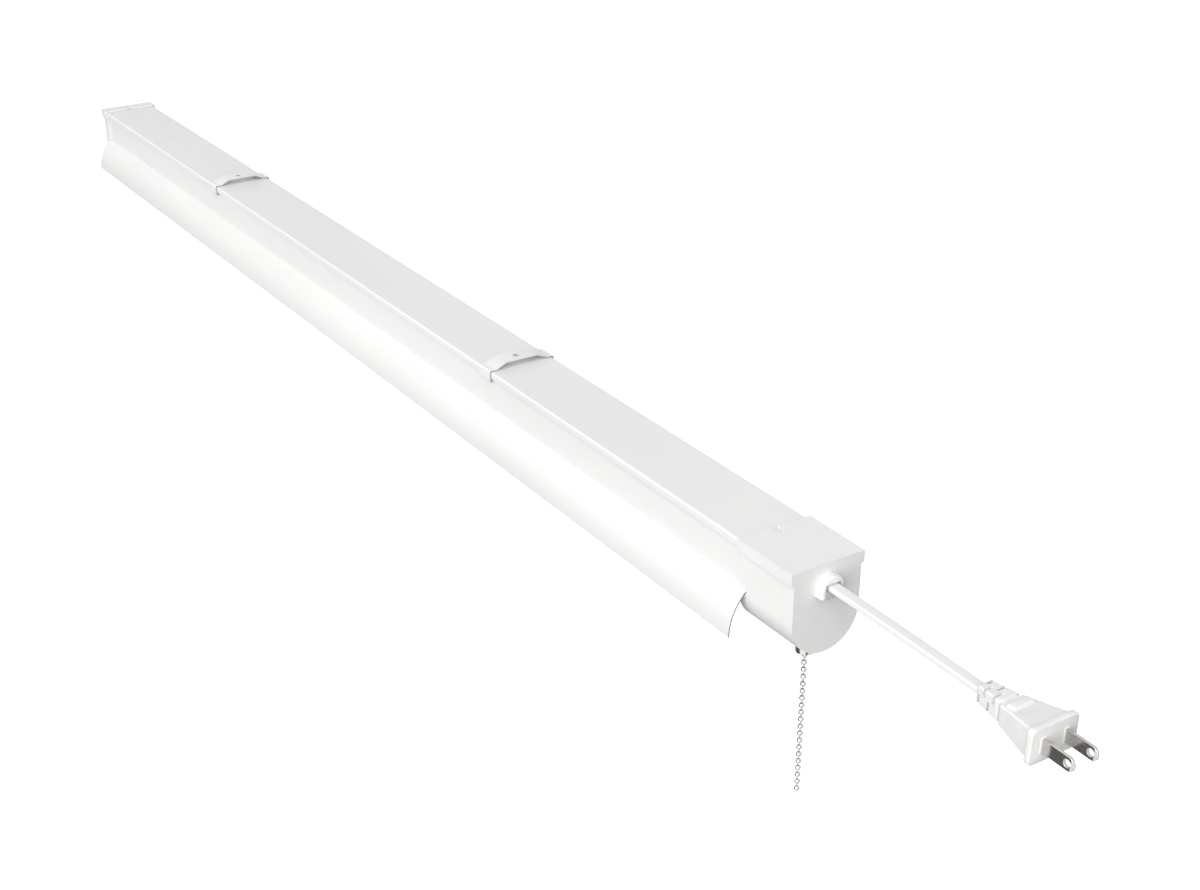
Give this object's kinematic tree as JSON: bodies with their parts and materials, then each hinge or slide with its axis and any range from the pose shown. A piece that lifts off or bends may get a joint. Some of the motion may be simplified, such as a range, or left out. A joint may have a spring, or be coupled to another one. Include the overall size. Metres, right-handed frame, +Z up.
{
  "type": "hanging LED shop light",
  "caption": "Slim hanging work light: folded steel housing with flared reflectors, frosted lens, moulded end caps, sliding clips, pull-chain switch and short plug lead.",
  "frame": {"origin": "midway between the holes of the two hanging clips, on top of the clips' bridges", "axes": "+X along the light towards its cord end, +Z up to the ceiling, +Y across the light"},
  "size_m": [1.0531, 0.057, 0.1338],
  "materials": {
    "white_steel": "smooth white enamel baked on sheet steel",
    "white_moulding": "white, satin moulded surface",
    "white_pvc": "white flexible moulding, satin",
    "frosted_lens": "frosted, translucent",
    "plated_steel": "zinc plated, dull",
    "board": "white solder mask on laminate",
    "lamp_phosphor": "yellow phosphor in clear resin",
    "plated_brass": "nickel plated, slightly worn",
    "nickel": "bright nickel plate",
    "spring_wire": "drawn wire",
    "dark_moulding": "dark heat-resistant moulding",
    "wire_insulation": "plain insulated wire, black or red on some leads"
  },
  "bodies": {
    "fixture": {"top_cover": "white_steel", "left_side_panel": "white_steel", "right_side_panel": "white_steel", "left_wing": "white_steel", "right_wing": "white_steel", "gear_tray": "plated_steel", "diffuser_lens": "frosted_lens", "led_board": "board", "led_chips": "lamp_phosphor", "board_screws": "plated_steel", "led_driver": "white_moulding", "driver_screws": "plated_steel", "cord_end_cap": "white_moulding", "plain_end_cap": "white_moulding", "strain_relief_shell": "white_moulding", "strain_relief_wedge": "white_moulding", "power_cord": "white_pvc", "plug_body": "white_pvc", "plug_blades": "plated_brass", "cord_conductors": "wire_insulation", "crimp_splice": "plated_steel", "neutral_lead": "wire_insulation", "switch_lead": "wire_insulation", "led_leads": "wire_insulation", "switch_body": "dark_moulding", "switch_barrel": "nickel", "barrel_nut": "nickel", "return_spring": "spring_wire"},
    "near_clip": {"near_clip": "white_steel"},
    "far_clip": {"far_clip": "white_steel"},
    "pull_rod": {"pull_rod": "nickel"},
    "chain_top": {"chain_top_bead": "nickel"},
    "chain": {"ball_chain": "nickel"}
  },
  "joints": [
    {"name": "near_clip_slide", "type": "slide", "parent": "fixture", "child": "near_clip", "axis": [1, 0, 0], "range_m": [-0.185, 0.22]},
    {"name": "far_clip_slide", "type": "slide", "parent": "fixture", "child": "far_clip", "axis": [1, 0, 0], "range_m": [-0.215, 0.185]},
    {"name": "chain_pull", "type": "slide", "parent": "fixture", "child": "pull_rod", "axis": [0, 0, -1], "range_m": [0, 0.008], "stiffness_N_per_m": 300, "springref_m": -0.01, "deforming": ["return_spring"]},
    {"name": "chain_swing_along", "type": "hinge", "parent": "pull_rod", "child": "chain_top", "pos_m": [0.4533, 0, -0.0573], "axis": [0, 1, 0], "range_deg": [-45, 45]},
    {"name": "chain_swing_across", "type": "hinge", "parent": "chain_top", "child": "chain", "pos_m": [0.4533, 0, -0.0573], "axis": [1, 0, 0], "range_deg": [-45, 45]}
  ]
}
